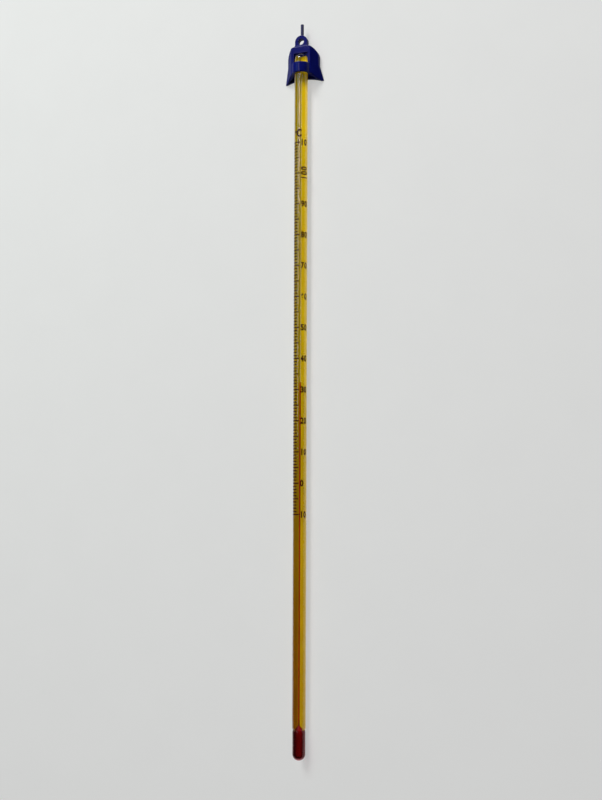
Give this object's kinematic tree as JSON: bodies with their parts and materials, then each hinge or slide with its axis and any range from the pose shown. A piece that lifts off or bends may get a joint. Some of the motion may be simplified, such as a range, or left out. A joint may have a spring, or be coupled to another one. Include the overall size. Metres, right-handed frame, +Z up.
{
  "type": "laboratory thermometer",
  "caption": "Liquid-in-glass laboratory thermometer with a yellow-backed stem, red spirit column, printed Celsius scale and a moulded anti-roll cap with a hanging ring.",
  "frame": {"origin": "middle of the footprint, on the plane that the cap's flat back rests on", "axes": "+Y along the stem from the bulb toward the hanging ring, +Z up, out of the cap's front face, +X to the right when the bulb points toward the viewer"},
  "size_m": [0.018, 0.3184, 0.0089],
  "materials": {
    "clear_glass": "polished clear drawn glass",
    "bulb_glass": "thin clear blown glass",
    "yellow_enamel": "opaque bright yellow enamel fused inside the glass",
    "red_spirit": "dyed red alcohol",
    "scale_ink": "fired dark brown ink",
    "blue_plastic": "moulded deep blue plastic, satin gloss"
  },
  "bodies": {
    "thermometer": {"stem_glass": "clear_glass", "bulb_glass": "bulb_glass", "enamel_strip": "yellow_enamel", "bulb_spirit": "red_spirit", "spirit_thread": "red_spirit", "minor_ticks": "scale_ink", "five_degree_ticks": "scale_ink", "ten_degree_ticks": "scale_ink"},
    "column_end": {"meniscus": "red_spirit"},
    "cap": {"cap": "blue_plastic"}
  },
  "joints": [
    {"name": "spirit_rise", "type": "slide", "parent": "thermometer", "child": "column_end", "axis": [0, 1, 0], "range_m": [-0.05686, 0.10369], "deforming": ["spirit_thread"]},
    {"name": "cap_pull", "type": "slide", "parent": "thermometer", "child": "cap", "axis": [0, 1, 0], "range_m": [0, 0.02]}
  ]
}
